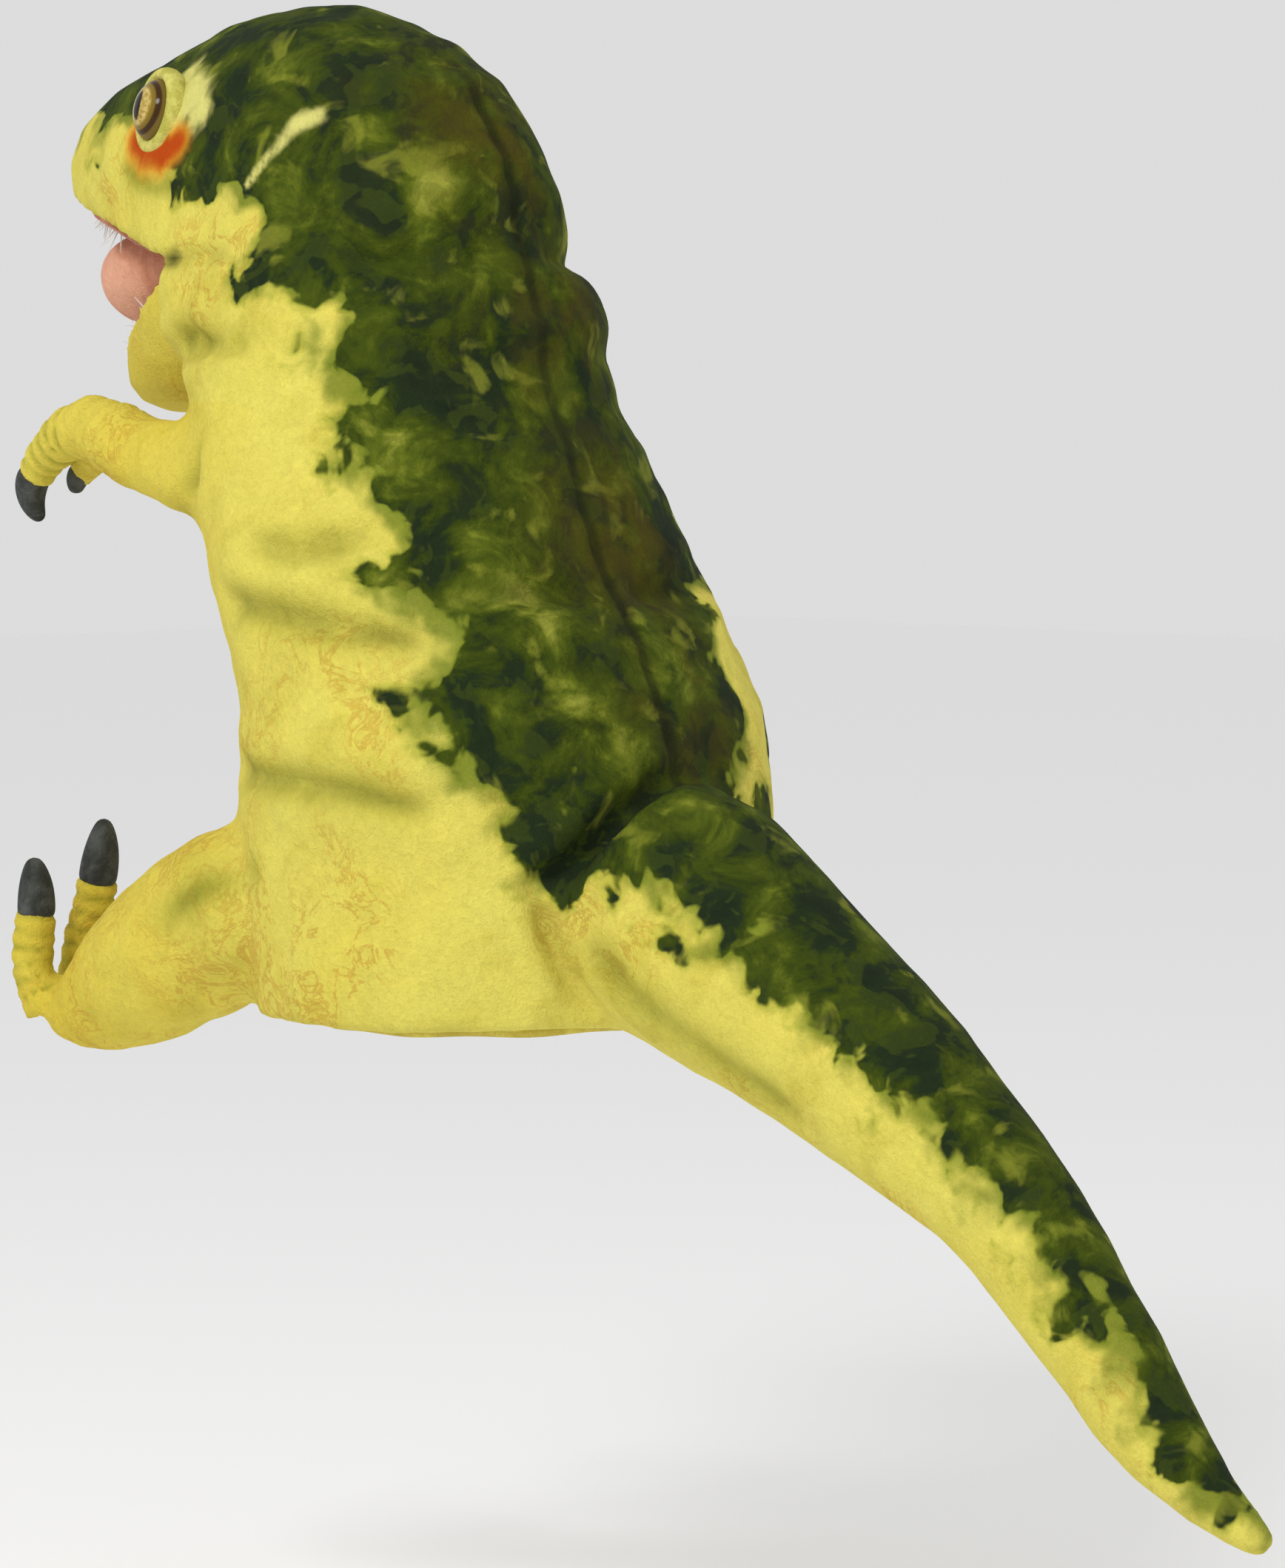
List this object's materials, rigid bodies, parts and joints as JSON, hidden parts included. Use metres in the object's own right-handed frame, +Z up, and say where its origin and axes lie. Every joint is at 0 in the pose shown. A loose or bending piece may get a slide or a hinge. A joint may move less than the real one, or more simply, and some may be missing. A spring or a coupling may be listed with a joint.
{
  "type": "hand puppet",
  "caption": "Plush dinosaur hand puppet: a head that nods, a mouth that opens on a finger pocket and a thumb pocket, small arms, clawed feet and a long tail.",
  "frame": {"origin": "centre of the hand opening, in the plane of the hem's lower edge", "axes": "+Z up the puppet from the hem to the crown, -Y towards the snout, +X to the puppet's own left"},
  "size_m": [0.178, 0.5268, 0.4622],
  "materials": {
    "plush_green": "short-pile plush, airbrushed green over yellow",
    "plush_yellow": "short-pile plush, yellow",
    "lining_cream": "plain woven lining",
    "mouth_pink": "short-pile pink plush",
    "stuffing_white": "loose polyester filling",
    "claw_grey": "dark grey plush with a short pile",
    "bristle_white": "stiff white bristle fringe",
    "board": "stiff board",
    "eye_amber": "clear glossy dome over an amber iris with a slit pupil",
    "washer_white": "plain moulded plastic"
  },
  "bodies": {
    "torso": {"body_panel_left": "plush_green", "body_panel_right": "plush_green", "body_stuffing_left": "stuffing_white", "body_stuffing_right": "stuffing_white", "hand_lining": "lining_cream", "hem_band": "plush_yellow"},
    "head": {"head_panel_left": "plush_green", "head_panel_right": "plush_green", "head_stuffing": "stuffing_white", "finger_pocket": "lining_cream", "upper_palate": "mouth_pink", "upper_mouth_board": "board", "upper_tooth_fringe": "bristle_white", "mouth_fold": "mouth_pink", "left_eye": "eye_amber", "right_eye": "eye_amber", "left_eye_washer": "washer_white", "right_eye_washer": "washer_white", "left_eyelid": "plush_yellow", "right_eyelid": "plush_yellow"},
    "jaw": {"jaw_skin": "plush_yellow", "jaw_stuffing": "stuffing_white", "thumb_pocket": "lining_cream", "lower_palate": "mouth_pink", "lower_mouth_board": "board", "lower_tooth_fringe": "bristle_white"},
    "tongue": {"tongue": "mouth_pink"},
    "left_arm": {"left_arm": "plush_yellow", "left_arm_stuffing": "stuffing_white", "left_arm_claw": "claw_grey", "left_finger": "plush_yellow", "left_finger_claw": "claw_grey"},
    "left_leg": {"left_leg": "plush_yellow", "left_leg_stuffing": "stuffing_white", "left_outer_toe": "plush_yellow", "left_outer_toe_claw": "claw_grey", "left_inner_toe": "plush_yellow", "left_inner_toe_claw": "claw_grey"},
    "right_arm": {"right_arm": "plush_yellow", "right_arm_stuffing": "stuffing_white", "right_arm_claw": "claw_grey", "right_finger": "plush_yellow", "right_finger_claw": "claw_grey"},
    "right_leg": {"right_leg": "plush_yellow", "right_leg_stuffing": "stuffing_white", "right_outer_toe": "plush_yellow", "right_outer_toe_claw": "claw_grey", "right_inner_toe": "plush_yellow", "right_inner_toe_claw": "claw_grey"},
    "tail_base": {"tail_base": "plush_green", "tail_base_stuffing": "stuffing_white"},
    "tail_mid": {"tail_mid": "plush_green", "tail_mid_stuffing": "stuffing_white"},
    "tail_tip": {"tail_tip": "plush_green", "tail_tip_stuffing": "stuffing_white"}
  },
  "joints": [
    {"name": "head_nod", "type": "hinge", "parent": "torso", "child": "head", "pos_m": [0, -0.048, 0.212], "axis": [1, 0, 0], "range_deg": [-12, 12]},
    {"name": "jaw_open", "type": "hinge", "parent": "head", "child": "jaw", "pos_m": [0, -0.114, 0.2455], "axis": [1, 0, 0], "range_deg": [-20, 4]},
    {"name": "tongue_lift", "type": "hinge", "parent": "head", "child": "tongue", "pos_m": [0, -0.114, 0.2455], "axis": [1, 0, 0], "range_deg": [-10, 2]},
    {"name": "left_shoulder", "type": "hinge", "parent": "torso", "child": "left_arm", "pos_m": [0.0585, -0.0985, 0.1805], "axis": [1, 0, 0], "range_deg": [-20, 25], "stiffness_Nm_per_rad": 0.6},
    {"name": "right_shoulder", "type": "hinge", "parent": "torso", "child": "right_arm", "pos_m": [-0.0585, -0.0985, 0.1805], "axis": [1, 0, 0], "range_deg": [-20, 25], "stiffness_Nm_per_rad": 0.6},
    {"name": "left_hip", "type": "hinge", "parent": "torso", "child": "left_leg", "pos_m": [0.06, -0.093, 0.027], "axis": [1, 0, 0], "range_deg": [-15, 20], "stiffness_Nm_per_rad": 2.5},
    {"name": "right_hip", "type": "hinge", "parent": "torso", "child": "right_leg", "pos_m": [-0.06, -0.093, 0.027], "axis": [1, 0, 0], "range_deg": [-15, 20], "stiffness_Nm_per_rad": 2.5},
    {"name": "tail_lift", "type": "hinge", "parent": "torso", "child": "tail_base", "pos_m": [0, 0.12, 0.0212], "axis": [1, 0, 0], "range_deg": [-15, 12], "stiffness_Nm_per_rad": 8},
    {"name": "tail_sway", "type": "hinge", "parent": "tail_base", "child": "tail_mid", "pos_m": [0, 0.19, -0.0188], "axis": [0, 0, 1], "range_deg": [-20, 20], "stiffness_Nm_per_rad": 1.2},
    {"name": "tail_tip_sway", "type": "hinge", "parent": "tail_mid", "child": "tail_tip", "pos_m": [0, 0.248, -0.0688], "axis": [0, 0, 1], "range_deg": [-25, 25], "stiffness_Nm_per_rad": 0.4}
  ],
  "couplings": [
    {"joint": "tongue_lift", "follows": "jaw_open", "ratio": 0.5}
  ]
}
